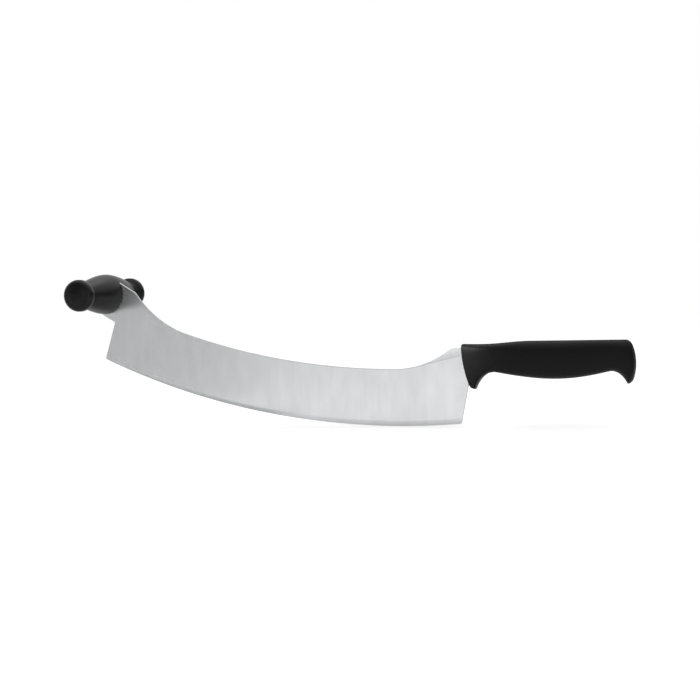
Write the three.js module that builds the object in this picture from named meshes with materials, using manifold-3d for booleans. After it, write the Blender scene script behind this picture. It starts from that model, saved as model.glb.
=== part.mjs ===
// A two-handled cheese knife. A curved steel blade carries a moulded main handle at its heel
// and a moulded cross grip at its tip, so that both hands can press it through a large cheese.
// Millimetres, +Z up, cutting edge down. X runs along the main handle from tip to butt,
// and Y is square to the blade. Outlines are drawn in (x, z) from the middle of the handle's front.

import * as THREE from 'three';
import { mergeVertices } from 'three/addons/utils/BufferGeometryUtils.js';
import Module from 'manifold-3d';

const wasm = await Module();
wasm.setup();

const radians = THREE.MathUtils.degToRad;
const mix = THREE.MathUtils.lerp;
const smooth = THREE.MathUtils.smoothstep;

// Blade: two arcs with their lowest points on one upright line
const BLADE_THICKNESS = 2.4;
const EDGE_RADIUS = 671;
const SPINE_RADIUS = 606;
const BLADE_WIDTH = 49.5;
const SPINE_DROP = 9.4; // lowest point of the spine, below the handle's axis
const LOW_POINT_REACH = 55.4; // lowest point of the blade, ahead of the handle's front
const TIP_REACH = 279; // from the lowest point to the corner of the tip
const TIP_LENGTH = 35.4;
const TIP_LEAN = radians(18.1);
const HEEL_SETBACK = 1.5; // corner of the heel, ahead of the handle's front
const HEEL_LEAN = radians(11.6);
const CORNER_ROUND = 1.6;

// Ground faces of the blade
const BEVEL_WIDTH = 4.5;
const EDGE_THICKNESS = 0.3;
const WHEEL_RADIUS = 60; // grinding wheel that hollows the shoulder
const SWAGE_WIDTH = 6.4;
const SWAGE_LENGTH = 40;
const SWAGE_SLOPE = radians(13);
const SWAGE_STOP = 2.5; // ends this far ahead of the handle's front

// Shoulder that climbs from the spine to the handle
const SHOULDER_RADIUS = 81;
const SHOULDER_SLOPE = radians(34.8);
const SHOULDER_CROWN = 10;
const SHOULDER_HEIGHT = 8.2;
const SHOULDER_LEVEL = 5.5; // level top in front of the handle

// Neck that climbs from the spine to the cross grip, and the eye inside the grip
const NECK_FILLET = 91.8;
const NECK_CROWN = 7;
const NECK_SLOPE = radians(32); // of the straight top between the crown and the eye
const NECK_LENGTH = 24;
const SHELF_SLOPE = radians(28.4); // of the underside between the inner corner of the tip and the eye
const SHELF_LENGTH = 11.5;
const SHELF_ROUND = 4;
const EYE_RADIUS = 16.7;
const EYE_HOLE_RADIUS = 6;
const GRIP_BACK = 8.7; // grip's axis from the inner corner of the tip
const GRIP_RISE = 25.8;

// Tang inside the main handle
const TANG_HEIGHT = 13;
const TANG_STEP = 10;
const TANG_STEP_RUN = 3;
const TANG_ROUND = 6;
const TANG_END_COVER = 30;
const TANG_HOLE_RADIUS = 3.5;
const TANG_HOLE_INSET = 14;
const TANG_FIRST_HOLE = 34;

// Main handle, with stations measured from its front
const HANDLE_LENGTH = 144.5;
const HANDLE_TOP = 13.5;
const THUMB_DIP = 2.4;
const THUMB_DIP_START = 18;
const THUMB_DIP_END = 58;
const FRONT_LIP = 0.5; // the top rises again towards the front
const GUARD_DEPTH = 26.9;
const GUARD_STATION = 5.5;
const GUARD_FRONT_RISE = 0.9;
const SADDLE_DEPTH = 12.3;
const FRONT_SADDLE_STATION = 28.7;
const BELLY_DEPTH = 18.5;
const BELLY_STATION = 79.5;
const REAR_SADDLE_INSET = 19.2; // from the butt
const HOOK_DEPTH = 22.9;
const HOOK_INSET = 3.8;
const FINGER_CURVE = 0.62; // below 1 the saddles are longer and the bulges shorter
const FRONT_HALF_WIDTH = 5.5;
const FRONT_TAPER = 30; // the handle narrows towards its front over this length
const BELLY_HALF_WIDTH = 12;
const SADDLE_HALF_WIDTH = 10.5;
const BUTT_HALF_WIDTH = 12;
const SECTION_SQUARENESS = 2.6; // exponent of the oval section
const FRONT_SWEEP = 7.7; // front leans back by this much down to the guard
const FRONT_BLEND = 24;
const FRONT_ROUND = 1.5;
const BUTT_CURVE_RADIUS = 48.4;
const BUTT_CREST = -6.4;
const BUTT_BLEND = 30;
const BUTT_ROUND = 4;

// Cross grip, turned about the Y axis
const GRIP_LENGTH = 115;
const BARREL_RADIUS = 18.2;
const BARREL_CREST = 14; // half of the barrel's nearly level middle
const WAIST_RADIUS = 10;
const WAIST_INSET = 13.4; // from the end of the grip
const KNOB_RADIUS = 14.1;
const KNOB_RIM = 3.1;
const KNOB_ROUND = 4.5;
const KNOB_DOME = 1.5;

// Fit of the mouldings on the steel, and fineness of curves
const MOULD_CLEARANCE = 0.3;
const CHORD_SAG = 0.03;
const CORNER_STEPS = 4;
const HANDLE_STATIONS = 60;
const HANDLE_SIDES = 28;
const GRIP_SIDES = 36;
const GRIP_STEPS = 5;
const WHEEL_SIDES = 240;
const RING_SIDES = 360;
const CUT_MARGIN = 0.5;

const point = (x, z) => new THREE.Vector2(x, z);

// Point at an angle on a circle, with 0 along +X and a quarter turn along +Z
function onCircle(center, radius, angle) {
  return point(center.x + radius * Math.cos(angle), center.y + radius * Math.sin(angle));
}

// Angle of a point as seen from a centre, in the turn that starts at the given angle
function angleFrom(center, target, start) {
  const angle = target.clone().sub(center).angle();
  return start + THREE.MathUtils.euclideanModulo(angle - start, 2 * Math.PI);
}

// Points along an arc, as many as the allowed sag of a chord needs
function arc(center, radius, start, end) {
  const step = 2 * Math.acos(1 - CHORD_SAG / radius);
  const count = Math.max(2, Math.ceil(Math.abs(end - start) / step));
  const curve = new THREE.EllipseCurve(center.x, center.y, radius, radius, start, end, end < start);
  return curve.getPoints(count);
}

// Rounded corner between two straight runs
function softCorner(before, corner, after, reach) {
  const start = corner.clone().add(before.clone().sub(corner).setLength(reach));
  const end = corner.clone().add(after.clone().sub(corner).setLength(reach));
  return new THREE.QuadraticBezierCurve(start, corner, end).getPoints(CORNER_STEPS);
}

// One of the two points where two circles cross: the one to the left of the way between their centres
function circlesCross(centerA, radiusA, centerB, radiusB) {
  const way = centerB.clone().sub(centerA);
  const span = way.length();
  const along = (span * span + radiusA * radiusA - radiusB * radiusB) / (2 * span);
  const across = Math.sqrt(radiusA * radiusA - along * along);
  way.normalize();
  return point(
    centerA.x + way.x * along - way.y * across,
    centerA.y + way.y * along + way.x * across,
  );
}

// Main places of the blade's side view
const lowX = -LOW_POINT_REACH;
const spineCenter = point(lowX, SPINE_RADIUS - SPINE_DROP);
const edgeCenter = point(lowX, EDGE_RADIUS - SPINE_DROP - BLADE_WIDTH);
const DOWN = 1.5 * Math.PI;
const tipAngle = DOWN - Math.asin(TIP_REACH / EDGE_RADIUS);
const heelAngle = DOWN + Math.asin((LOW_POINT_REACH - HEEL_SETBACK) / EDGE_RADIUS);
const tipCorner = onCircle(edgeCenter, EDGE_RADIUS, tipAngle);
const heelCorner = onCircle(edgeCenter, EDGE_RADIUS, heelAngle);
const cornerTurn = CORNER_ROUND / EDGE_RADIUS; // turn of the edge's arc taken up by a rounded corner
const tipNotch = onCircle(tipCorner, TIP_LENGTH, Math.PI / 2 - TIP_LEAN);
const gripAxis = point(tipNotch.x - GRIP_BACK, tipNotch.y + GRIP_RISE);
const tangEnd = HANDLE_LENGTH - TANG_END_COVER;
const steelHoles = [
  { center: point(TANG_FIRST_HOLE, 0), radius: TANG_HOLE_RADIUS },
  { center: point(tangEnd - TANG_HOLE_INSET, 0), radius: TANG_HOLE_RADIUS },
  { center: gripAxis, radius: EYE_HOLE_RADIUS },
];

// Heel and tang, from the end of the cutting edge round to the top of the shoulder
function tangOutline() {
  const half = TANG_HEIGHT / 2;
  const edgeEnd = onCircle(edgeCenter, EDGE_RADIUS, heelAngle - cornerTurn);
  const heelRun = (-half - heelCorner.y) / Math.cos(HEEL_LEAN);
  const inner = onCircle(heelCorner, heelRun, Math.PI / 2 - HEEL_LEAN);
  const lowEnd = point(tangEnd, -half);
  const highEnd = point(tangEnd, half);
  const stepFoot = point(TANG_STEP + TANG_STEP_RUN, half);
  const stepHead = point(TANG_STEP, SHOULDER_HEIGHT);
  const level = point(-SHOULDER_LEVEL, SHOULDER_HEIGHT);
  return [
    ...softCorner(edgeEnd, heelCorner, inner, CORNER_ROUND),
    ...softCorner(heelCorner, inner, lowEnd, TANG_ROUND),
    ...softCorner(inner, lowEnd, highEnd, half),
    ...softCorner(lowEnd, highEnd, stepFoot, half),
    ...softCorner(highEnd, stepFoot, stepHead, TANG_STEP_RUN / 2),
    ...softCorner(stepFoot, stepHead, level, TANG_STEP_RUN / 2),
  ];
}

// Shoulder: a level top, a crown, a straight climb and an arc that runs into the spine
function shoulderOutline() {
  const turn = Math.PI / 2 + SHOULDER_SLOPE;
  const crownCenter = point(-SHOULDER_LEVEL, SHOULDER_HEIGHT - SHOULDER_CROWN);
  const climbTop = onCircle(crownCenter, SHOULDER_CROWN, turn);
  const offset = onCircle(climbTop, SHOULDER_RADIUS, turn).sub(spineCenter);
  const climb = point(Math.cos(SHOULDER_SLOPE), Math.sin(SHOULDER_SLOPE));
  const along = climb.dot(offset);
  const reach = SPINE_RADIUS - SHOULDER_RADIUS;
  const climbLength = along + Math.sqrt(along * along - offset.lengthSq() + reach * reach);
  const center = offset.add(spineCenter).addScaledVector(climb, -climbLength);
  const spineAngle = angleFrom(spineCenter, center, 0);
  return {
    points: [
      ...arc(crownCenter, SHOULDER_CROWN, Math.PI / 2, turn),
      ...arc(center, SHOULDER_RADIUS, DOWN + SHOULDER_SLOPE, spineAngle),
    ],
    spineAngle,
  };
}

// Neck: a fillet out of the spine, a crown, a straight top, the eye and the shelf under it
function neckOutline() {
  const topAngle = Math.PI / 2 - NECK_SLOPE;
  const straightEnd = onCircle(gripAxis, NECK_LENGTH, -NECK_SLOPE);
  const crownCenter = onCircle(straightEnd, EYE_RADIUS - NECK_CROWN, topAngle);
  const filletReach = SPINE_RADIUS - NECK_FILLET;
  const filletCenter = circlesCross(spineCenter, filletReach, crownCenter, NECK_FILLET + NECK_CROWN);
  const spineAngle = angleFrom(spineCenter, filletCenter, 0);
  const turnAngle = angleFrom(filletCenter, crownCenter, 0);
  const shelfEnd = onCircle(tipNotch, SHELF_LENGTH, Math.PI - SHELF_SLOPE);
  const shelfWay = shelfEnd.clone().sub(gripAxis);
  const eyeEnd = shelfWay.angle() - Math.acos(EYE_RADIUS / shelfWay.length());
  const eye = arc(gripAxis, EYE_RADIUS, topAngle, eyeEnd);
  return {
    points: [
      ...arc(filletCenter, NECK_FILLET, spineAngle, turnAngle),
      ...arc(crownCenter, NECK_CROWN, turnAngle - Math.PI, topAngle),
      ...eye,
      ...softCorner(eye.at(-1), shelfEnd, tipNotch, SHELF_ROUND),
    ],
    spineAngle,
  };
}

// Whole side view of the steel, counter-clockwise from the corner of the tip,
// without the points that fall together where two runs meet
function bladeOutline() {
  const shoulder = shoulderOutline();
  const neck = neckOutline();
  const edge = arc(edgeCenter, EDGE_RADIUS, tipAngle + cornerTurn, heelAngle - cornerTurn);
  const outline = [
    ...edge,
    ...tangOutline(),
    ...shoulder.points,
    ...arc(spineCenter, SPINE_RADIUS, shoulder.spineAngle, neck.spineAngle),
    ...neck.points,
    ...softCorner(neck.points.at(-1), tipNotch, tipCorner, CORNER_ROUND),
    ...softCorner(tipNotch, tipCorner, edge[0], CORNER_ROUND),
  ];
  return outline.filter((each, i) => each.distanceTo(outline.at(i - 1)) > CHORD_SAG);
}

// Outline moved outwards all round
function grow(outline, distance) {
  return outline.map((each, i) => {
    const arriving = each.clone().sub(outline.at(i - 1)).normalize();
    const leaving = outline[(i + 1) % outline.length].clone().sub(each).normalize();
    const way = arriving.add(leaving).normalize();
    return point(each.x + way.y * distance, each.y - way.x * distance);
  });
}

// Sheet of steel standing in the XZ plane, with its round holes, larger all round by the clearance
function sheet(clearance) {
  const shape = new THREE.Shape(grow(bladeOutline(), clearance));
  for (const { center, radius } of steelHoles) {
    shape.holes.push(new THREE.Path(arc(center, radius - clearance, 0, -2 * Math.PI).slice(1)));
  }
  const depth = BLADE_THICKNESS + 2 * clearance;
  const geometry = new THREE.ExtrudeGeometry(shape, { depth, bevelEnabled: false });
  return geometry.translate(0, 0, -depth / 2).rotateX(Math.PI / 2);
}

// Closed solid for joining and cutting
function solid(geometry) {
  const bare = geometry.index ? geometry.toNonIndexed() : geometry.clone();
  bare.deleteAttribute('normal');
  bare.deleteAttribute('uv');
  const merged = mergeVertices(bare);
  return new wasm.Manifold(new wasm.Mesh({
    numProp: 3,
    vertProperties: new Float32Array(merged.attributes.position.array),
    triVerts: new Uint32Array(merged.index.array),
  }));
}

function fromSolid(body) {
  const mesh = body.getMesh();
  const geometry = new THREE.BufferGeometry();
  geometry.setAttribute('position', new THREE.BufferAttribute(mesh.vertProperties, 3));
  geometry.setIndex(new THREE.BufferAttribute(mesh.triVerts, 1));
  geometry.computeVertexNormals();
  return geometry;
}

// Ring that grinds the bevel of the cutting edge on the side given by its sign
function bevelRing(side) {
  const face = BLADE_THICKNESS / 2;
  const slope = (face - EDGE_THICKNESS / 2) / BEVEL_WIDTH;
  const inner = EDGE_RADIUS - BEVEL_WIDTH;
  const outer = EDGE_RADIUS + CUT_MARGIN;
  const high = side * (face + CUT_MARGIN);
  const profile = [
    point(inner, side * face),
    point(outer, side * (face - slope * (outer - inner))),
    point(outer, high),
    point(inner, high),
  ];
  if (side < 0) profile.reverse();
  const ring = new THREE.LatheGeometry([...profile, profile[0]], RING_SIDES);
  return ring.translate(edgeCenter.x, 0, edgeCenter.y);
}

// Wheel that hollows the shoulder on the side given by its sign: deepest at the shoulder's top
function swageWheel(side) {
  const wheel = new THREE.CylinderGeometry(WHEEL_RADIUS, WHEEL_RADIUS, SWAGE_LENGTH, WHEEL_SIDES);
  const out = BLADE_THICKNESS / 2 + Math.sqrt(WHEEL_RADIUS ** 2 - SWAGE_WIDTH ** 2);
  return wheel
    .rotateZ(Math.PI / 2)
    .translate(-SWAGE_LENGTH / 2, 0, 0)
    .rotateY(-SWAGE_SLOPE)
    .translate(-SWAGE_STOP, side * out, SHOULDER_HEIGHT);
}

function bladeGeometry() {
  let body = solid(sheet(0));
  for (const side of [-1, 1]) {
    body = body.subtract(solid(bevelRing(side)));
    body = body.subtract(solid(swageWheel(side)));
  }
  return fromSolid(body);
}

// Share of the way from a bulge to a saddle, or back
function fingerCurve(station, from, to) {
  const share = THREE.MathUtils.clamp((station - from) / (to - from), 0, 1);
  return smooth(share ** FINGER_CURVE, 0, 1);
}

const rearSaddleStation = HANDLE_LENGTH - REAR_SADDLE_INSET;
const hookStation = HANDLE_LENGTH - HOOK_INSET;

// Underside of the handle at a station: guard, saddle, belly, saddle and hook
function underside(station) {
  if (station < GUARD_STATION) {
    return -GUARD_DEPTH + GUARD_FRONT_RISE * (1 - smooth(station, 0, GUARD_STATION));
  }
  if (station < FRONT_SADDLE_STATION) {
    return mix(-GUARD_DEPTH, -SADDLE_DEPTH, fingerCurve(station, GUARD_STATION, FRONT_SADDLE_STATION));
  }
  if (station < BELLY_STATION) {
    return mix(-SADDLE_DEPTH, -BELLY_DEPTH, fingerCurve(station, FRONT_SADDLE_STATION, BELLY_STATION));
  }
  if (station < rearSaddleStation) {
    return mix(-SADDLE_DEPTH, -BELLY_DEPTH, fingerCurve(station, rearSaddleStation, BELLY_STATION));
  }
  return mix(-HOOK_DEPTH, -SADDLE_DEPTH, fingerCurve(station, hookStation, rearSaddleStation));
}

// Top of the handle at a station, with the dip for the thumb behind the front's lip
function topside(station) {
  const dip = THUMB_DIP * (1 - smooth(station, THUMB_DIP_START, THUMB_DIP_END));
  const share = Math.max(0, 1 - station / THUMB_DIP_START);
  return HANDLE_TOP - dip + FRONT_LIP * share * share;
}

function halfWidth(station) {
  if (station < BELLY_STATION) {
    const share = Math.max(0, 1 - station / FRONT_TAPER);
    return mix(BELLY_HALF_WIDTH, FRONT_HALF_WIDTH, share * share);
  }
  if (station < rearSaddleStation) {
    return mix(BELLY_HALF_WIDTH, SADDLE_HALF_WIDTH, smooth(station, BELLY_STATION, rearSaddleStation));
  }
  return mix(SADDLE_HALF_WIDTH, BUTT_HALF_WIDTH, smooth(station, rearSaddleStation, hookStation));
}

// How far a rounded end draws the section in, at a distance from that end
function endInset(distance, round) {
  const inside = Math.max(0, round - distance);
  return round - Math.sqrt(round * round - inside * inside);
}

// Place along X of a point of the section: the front sweeps back and the butt is a bow
function sweep(station, z) {
  const fall = (HANDLE_TOP - THUMB_DIP - z) / (HANDLE_TOP - THUMB_DIP + GUARD_DEPTH);
  const lean = FRONT_SWEEP * fall * fall * Math.max(0, 1 - station / FRONT_BLEND);
  const sag = (z - BUTT_CREST) ** 2 / (2 * BUTT_CURVE_RADIUS);
  const rear = Math.max(0, 1 - (HANDLE_LENGTH - station) / BUTT_BLEND);
  return station + lean - sag * rear;
}

// Oval section of the handle at a station, as points in space
function handleSection(station) {
  const inset = endInset(station, FRONT_ROUND) + endInset(HANDLE_LENGTH - station, BUTT_ROUND);
  const top = topside(station) - inset;
  const bottom = underside(station) + inset;
  const wide = halfWidth(station) - inset;
  const power = 2 / SECTION_SQUARENESS;
  const oval = (value) => Math.sign(value) * Math.abs(value) ** power;
  return Array.from({ length: HANDLE_SIDES }, (_, i) => {
    const angle = (2 * Math.PI * i) / HANDLE_SIDES;
    const z = (top + bottom) / 2 + (oval(Math.sin(angle)) * (top - bottom)) / 2;
    return [sweep(station, z), wide * oval(Math.cos(angle)), z];
  });
}

// Skin through a row of sections, closed at both ends by strips across the section
function loft(sections) {
  const sides = sections[0].length;
  const indices = [];
  for (let row = 0; row < sections.length - 1; row++) {
    for (let i = 0; i < sides; i++) {
      const a = row * sides + i;
      const b = row * sides + ((i + 1) % sides);
      indices.push(a, b, a + sides, b, b + sides, a + sides);
    }
  }
  const last = (sections.length - 1) * sides;
  for (let i = -sides / 4; i < sides / 4; i++) {
    const strip = [i, i + 1, sides / 2 - i, sides / 2 - i - 1];
    const [low, high, lowTwin, highTwin] = strip.map((each) => (each + sides) % sides);
    if (low !== lowTwin) indices.push(low, lowTwin, high, last + low, last + high, last + lowTwin);
    if (high !== highTwin) {
      indices.push(high, lowTwin, highTwin, last + high, last + highTwin, last + lowTwin);
    }
  }
  const geometry = new THREE.BufferGeometry();
  geometry.setAttribute('position', new THREE.Float32BufferAttribute(sections.flat(2), 3));
  geometry.setIndex(indices);
  return geometry;
}

function handleGeometry() {
  const stations = Array.from({ length: HANDLE_STATIONS + 1 }, (_, i) => (
    (HANDLE_LENGTH / 2) * (1 - Math.cos((Math.PI * i) / HANDLE_STATIONS))
  ));
  const body = solid(loft(stations.map(handleSection)));
  return fromSolid(body.subtract(solid(sheet(MOULD_CLEARANCE))));
}

// Half of the grip's profile as (radius, y), from the middle of the end to the middle of the barrel
function gripHalfProfile() {
  const end = GRIP_LENGTH / 2;
  const face = end - KNOB_DOME;
  const rim = face - KNOB_ROUND;
  const waist = end - WAIST_INSET;
  const path = new THREE.Path();
  path.moveTo(0, end);
  path.quadraticCurveTo((KNOB_RADIUS - KNOB_ROUND) / 2, end, KNOB_RADIUS - KNOB_ROUND, face);
  path.absarc(KNOB_RADIUS - KNOB_ROUND, rim, KNOB_ROUND, Math.PI / 2, 0, true);
  path.lineTo(KNOB_RADIUS, rim - KNOB_RIM);
  const flank = (rim - KNOB_RIM + waist) / 2;
  path.bezierCurveTo(KNOB_RADIUS, flank, WAIST_RADIUS, flank, WAIST_RADIUS, waist);
  path.quadraticCurveTo(BARREL_RADIUS, BARREL_CREST, BARREL_RADIUS, 0);
  return path.getPoints(GRIP_STEPS);
}

function gripGeometry() {
  const half = gripHalfProfile();
  const mirrored = half.slice(0, -1).reverse().map((each) => point(each.x, -each.y));
  const body = solid(new THREE.LatheGeometry([...half, ...mirrored].reverse(), GRIP_SIDES));
  const steel = sheet(MOULD_CLEARANCE).translate(-gripAxis.x, 0, -gripAxis.y);
  return fromSolid(body.subtract(solid(steel)));
}

// Finishes
const steel = new THREE.MeshStandardMaterial({ color: 0xc6c8c9, roughness: 0.35, metalness: 1 });
const handleBlack = new THREE.MeshStandardMaterial({ color: 0x1f1f20, roughness: 0.5, metalness: 0 });
const gripBlack = new THREE.MeshStandardMaterial({ color: 0x242425, roughness: 0.45, metalness: 0 });

function piece(name, geometry, material) {
  const mesh = new THREE.Mesh(geometry, material);
  mesh.name = name;
  return mesh;
}

const blade = piece('blade', bladeGeometry(), steel);
const mainHandle = piece('main_handle', handleGeometry(), handleBlack);
const crossGrip = piece('cross_grip', gripGeometry(), gripBlack);
crossGrip.position.set(gripAxis.x, 0, gripAxis.y);

// The knife stands with the middle of its underside at the origin
const knife = new THREE.Group();
knife.add(blade, mainHandle, crossGrip);
const box = new THREE.Box3().setFromObject(knife, true);
const middle = box.getCenter(new THREE.Vector3());
knife.position.set(-middle.x, -middle.y, -box.min.z);

export default knife;
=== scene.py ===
"""Studio picture of a cheese knife with a curved steel blade, a main handle and a cross grip.

Sizes are in millimetres in the knife's own axes: x along the main handle from its front, z up from the
handle's middle line, y square to the blade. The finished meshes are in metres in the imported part's axes.
"""

import logging
import math
from dataclasses import dataclass, field
from enum import Enum
from typing import Optional, Union

import bmesh
import bpy
from bmesh.types import BMesh
from bpy.types import GeometryNodeTree, Material, Mesh, NodeSocket, NodeTree, Object, World
from mathutils import Matrix, Vector


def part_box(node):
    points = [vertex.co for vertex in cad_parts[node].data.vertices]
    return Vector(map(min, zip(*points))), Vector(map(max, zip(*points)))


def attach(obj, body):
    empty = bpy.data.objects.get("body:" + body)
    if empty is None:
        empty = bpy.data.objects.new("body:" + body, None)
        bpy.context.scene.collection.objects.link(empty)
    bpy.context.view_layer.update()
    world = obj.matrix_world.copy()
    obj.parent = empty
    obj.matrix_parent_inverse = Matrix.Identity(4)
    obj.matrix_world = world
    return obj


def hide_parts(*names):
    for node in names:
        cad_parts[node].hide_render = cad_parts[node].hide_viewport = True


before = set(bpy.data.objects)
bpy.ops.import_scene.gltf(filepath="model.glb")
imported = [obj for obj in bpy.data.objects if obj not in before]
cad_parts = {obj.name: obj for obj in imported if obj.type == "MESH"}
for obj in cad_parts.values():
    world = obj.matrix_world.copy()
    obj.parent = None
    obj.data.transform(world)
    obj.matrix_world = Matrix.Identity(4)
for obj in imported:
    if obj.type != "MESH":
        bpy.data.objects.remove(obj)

LOG = logging.getLogger("cheese_knife")
MM = 0.001
FULL_TURN = 2 * math.pi
DOWN = 1.5 * math.pi

# Shape of a bevel whose section is part of a circle
ROUND_PROFILE = 0.5

# Factors that keep only a place's side view, and that mirror a piece in the plane of the blade
SIDE_VIEW = (1.0, 0.0, 1.0)
MIRROR = (1.0, -1.0, 1.0)

# The knife's point at the middle of the picture
PICTURE_CENTER = Vector((-99.14, 0.0, 7.46))

Spot = tuple[float, float, float]
SocketValue = Union[float, int, tuple, Vector, NodeSocket, Material]
SOCKET_TYPES = {
    float: "NodeSocketFloat",
    int: "NodeSocketInt",
    Vector: "NodeSocketVector",
    Material: "NodeSocketMaterial",
}


class Node(Enum):
    """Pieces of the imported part."""

    BLADE = "blade"
    MAIN_HANDLE = "main_handle"
    CROSS_GRIP = "cross_grip"


class Slot(Enum):
    """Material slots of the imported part's record."""

    STEEL = "steel"
    HANDLE_PLASTIC = "handle_plastic"
    GRIP_PLASTIC = "grip_plastic"


class Side(Enum):
    """Sides of the blade, by the sign of y."""

    NEAR = -1
    FAR = 1


class Lay(Enum):
    """Ways to put up a card in the studio."""

    UPRIGHT = "upright"
    FLAT = "flat"


def linear(colour: str) -> tuple[float, float, float, float]:
    """Turn a colour from sRGB to the linear values that sockets take, by sRGB's standard curve.

    Args:
        colour: Six hex digits.

    Returns:
        Red, green, blue and an alpha of 1.
    """
    channels = []
    for start in (0, 2, 4):
        value = int(colour[start:start + 2], 16) / 255
        channels.append(value / 12.92 if value <= 0.04045 else ((value + 0.055) / 1.055) ** 2.4)
    return (*channels, 1.0)


def add_node(
    tree: NodeTree,
    kind: str,
    inputs: Optional[dict[Union[str, int], SocketValue]] = None,
    **settings: object,
) -> bpy.types.Node:
    """Add a node with its settings, values and links.

    Args:
        tree: Tree that gets the node.
        kind: Blender's name for the type of node.
        inputs: Value, or socket to link from, for each input by its name or number.
        **settings: Properties of the node itself.

    Returns:
        The new node.
    """
    node = tree.nodes.new(kind)
    for name, value in settings.items():
        setattr(node, name, value)
    for key, value in (inputs or {}).items():
        if isinstance(value, NodeSocket):
            tree.links.new(value, node.inputs[key])
        else:
            node.inputs[key].default_value = value
    return node


def empty_tree(owner: Union[Material, World]) -> NodeTree:
    """Give a new material or world a node tree without nodes.

    Args:
        owner: The material or the world.

    Returns:
        Its tree.
    """
    owner.use_nodes = True
    owner.node_tree.nodes.clear()
    return owner.node_tree


def add_object(name: str, mesh: Mesh) -> Object:
    """Put a mesh into the scene.

    Args:
        name: Name of the object and of its mesh.
        mesh: Mesh in its final place.

    Returns:
        The new object, at the origin.
    """
    mesh.name = name
    made = bpy.data.objects.new(name, mesh)
    bpy.context.scene.collection.objects.link(made)
    return made


def bake(piece: Object) -> None:
    """Turn a piece's modifiers into its plain mesh.

    Args:
        piece: Object whose modifiers are applied and removed.
    """
    graph = bpy.context.evaluated_depsgraph_get()
    mesh = bpy.data.meshes.new_from_object(piece.evaluated_get(graph))
    spare = piece.data
    piece.modifiers.clear()
    piece.data = mesh
    bpy.data.meshes.remove(spare)
    mesh.name = piece.name


def smoothstep(value: float, low: float, high: float) -> float:
    """Ease from 0 at the low limit to 1 at the high one."""
    share = min(1.0, max(0.0, (value - low) / (high - low)))
    return share * share * (3 - 2 * share)


def mix(low: float, high: float, share: float) -> float:
    """Give the value that lies a share of the way from low to high."""
    return low + (high - low) * share


def on_circle(center: Vector, radius: float, angle: float) -> Vector:
    """Give the point at an angle on a circle in the side view."""
    return center + radius * Vector((math.cos(angle), math.sin(angle)))


def angle_of(way: Vector) -> float:
    """Give the angle of a direction in the side view, from 0 to a full turn."""
    return math.atan2(way.y, way.x) % FULL_TURN


def arc(center: Vector, radius: float, start: float, end: float, sag: float = 0.004) -> list[Vector]:
    """Give points along an arc in the side view.

    Args:
        center: Middle of the circle.
        radius: Radius of the circle.
        start: First angle.
        end: Last angle.
        sag: Most that a chord may leave the circle.

    Returns:
        The points from start to end.
    """
    step = 2 * math.acos(1 - sag / radius)
    count = max(2, math.ceil(abs(end - start) / step))
    return [on_circle(center, radius, mix(start, end, i / count)) for i in range(count + 1)]


def soft_corner(
    before: Vector, corner: Vector, after: Vector, reach: float, steps: int = 8
) -> list[Vector]:
    """Round the corner between two straight runs.

    Args:
        before: Point on the run that arrives.
        corner: The sharp corner.
        after: Point on the run that leaves.
        reach: How far from the corner the rounding starts.
        steps: Number of runs that the rounding is drawn with.

    Returns:
        Points along the rounding.
    """
    start = corner + (before - corner).normalized() * reach
    end = corner + (after - corner).normalized() * reach
    shares = [i / steps for i in range(steps + 1)]
    return [start.lerp(corner, share).lerp(corner.lerp(end, share), share) for share in shares]


def circles_cross(center_a: Vector, radius_a: float, center_b: Vector, radius_b: float) -> Vector:
    """Find where two circles cross, to the left of the way from the first centre to the second.

    Args:
        center_a: Middle of the first circle.
        radius_a: Radius of the first circle.
        center_b: Middle of the second circle.
        radius_b: Radius of the second circle.

    Returns:
        The crossing point.
    """
    way = center_b - center_a
    span = way.length
    along = (span * span + radius_a * radius_a - radius_b * radius_b) / (2 * span)
    across = math.sqrt(radius_a * radius_a - along * along)
    way.normalize()
    return center_a + way * along + Vector((-way.y, way.x)) * across


def loft(sections: list[list[Vector]]) -> BMesh:
    """Skin a row of closed sections and close both ends.

    Args:
        sections: Rings of points in space, all with the same count.

    Returns:
        A closed mesh with its faces turned outwards.
    """
    made = bmesh.new()
    rings = [[made.verts.new(each) for each in section] for section in sections]
    for ring, following in zip(rings, rings[1:]):
        for i, vert in enumerate(ring):
            made.faces.new((ring[i - 1], vert, following[i], following[i - 1]))
    for ring in (rings[0], rings[-1]):
        made.faces.new(ring)
    bmesh.ops.recalc_face_normals(made, faces=made.faces)
    return made


def to_mesh(name: str, made: BMesh, place: Matrix) -> Mesh:
    """Turn a finished edit mesh into a mesh in its place.

    Args:
        name: Name of the mesh.
        made: Edit mesh in millimetres, which is freed.
        place: Matrix from the knife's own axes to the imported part's.

    Returns:
        The mesh in metres.
    """
    mesh = bpy.data.meshes.new(name)
    made.transform(place)
    made.to_mesh(mesh)
    made.free()
    return mesh


def cylinder(name: str, radius: float, depth: float, sides: int, lay: Matrix, place: Matrix) -> Object:
    """Make a cylinder that cuts the steel.

    Args:
        name: Name of the tool.
        radius: Radius in millimetres.
        depth: Length in millimetres.
        sides: Number of flat sides.
        lay: Matrix from an upright cylinder to its place in the knife's own axes.
        place: Matrix from the knife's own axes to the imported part's.

    Returns:
        The tool.
    """
    made = bmesh.new()
    bmesh.ops.create_cone(
        made, cap_ends=True, segments=sides, radius1=radius, radius2=radius, depth=depth, matrix=lay
    )
    return add_object(name, to_mesh(name, made, place))


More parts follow.
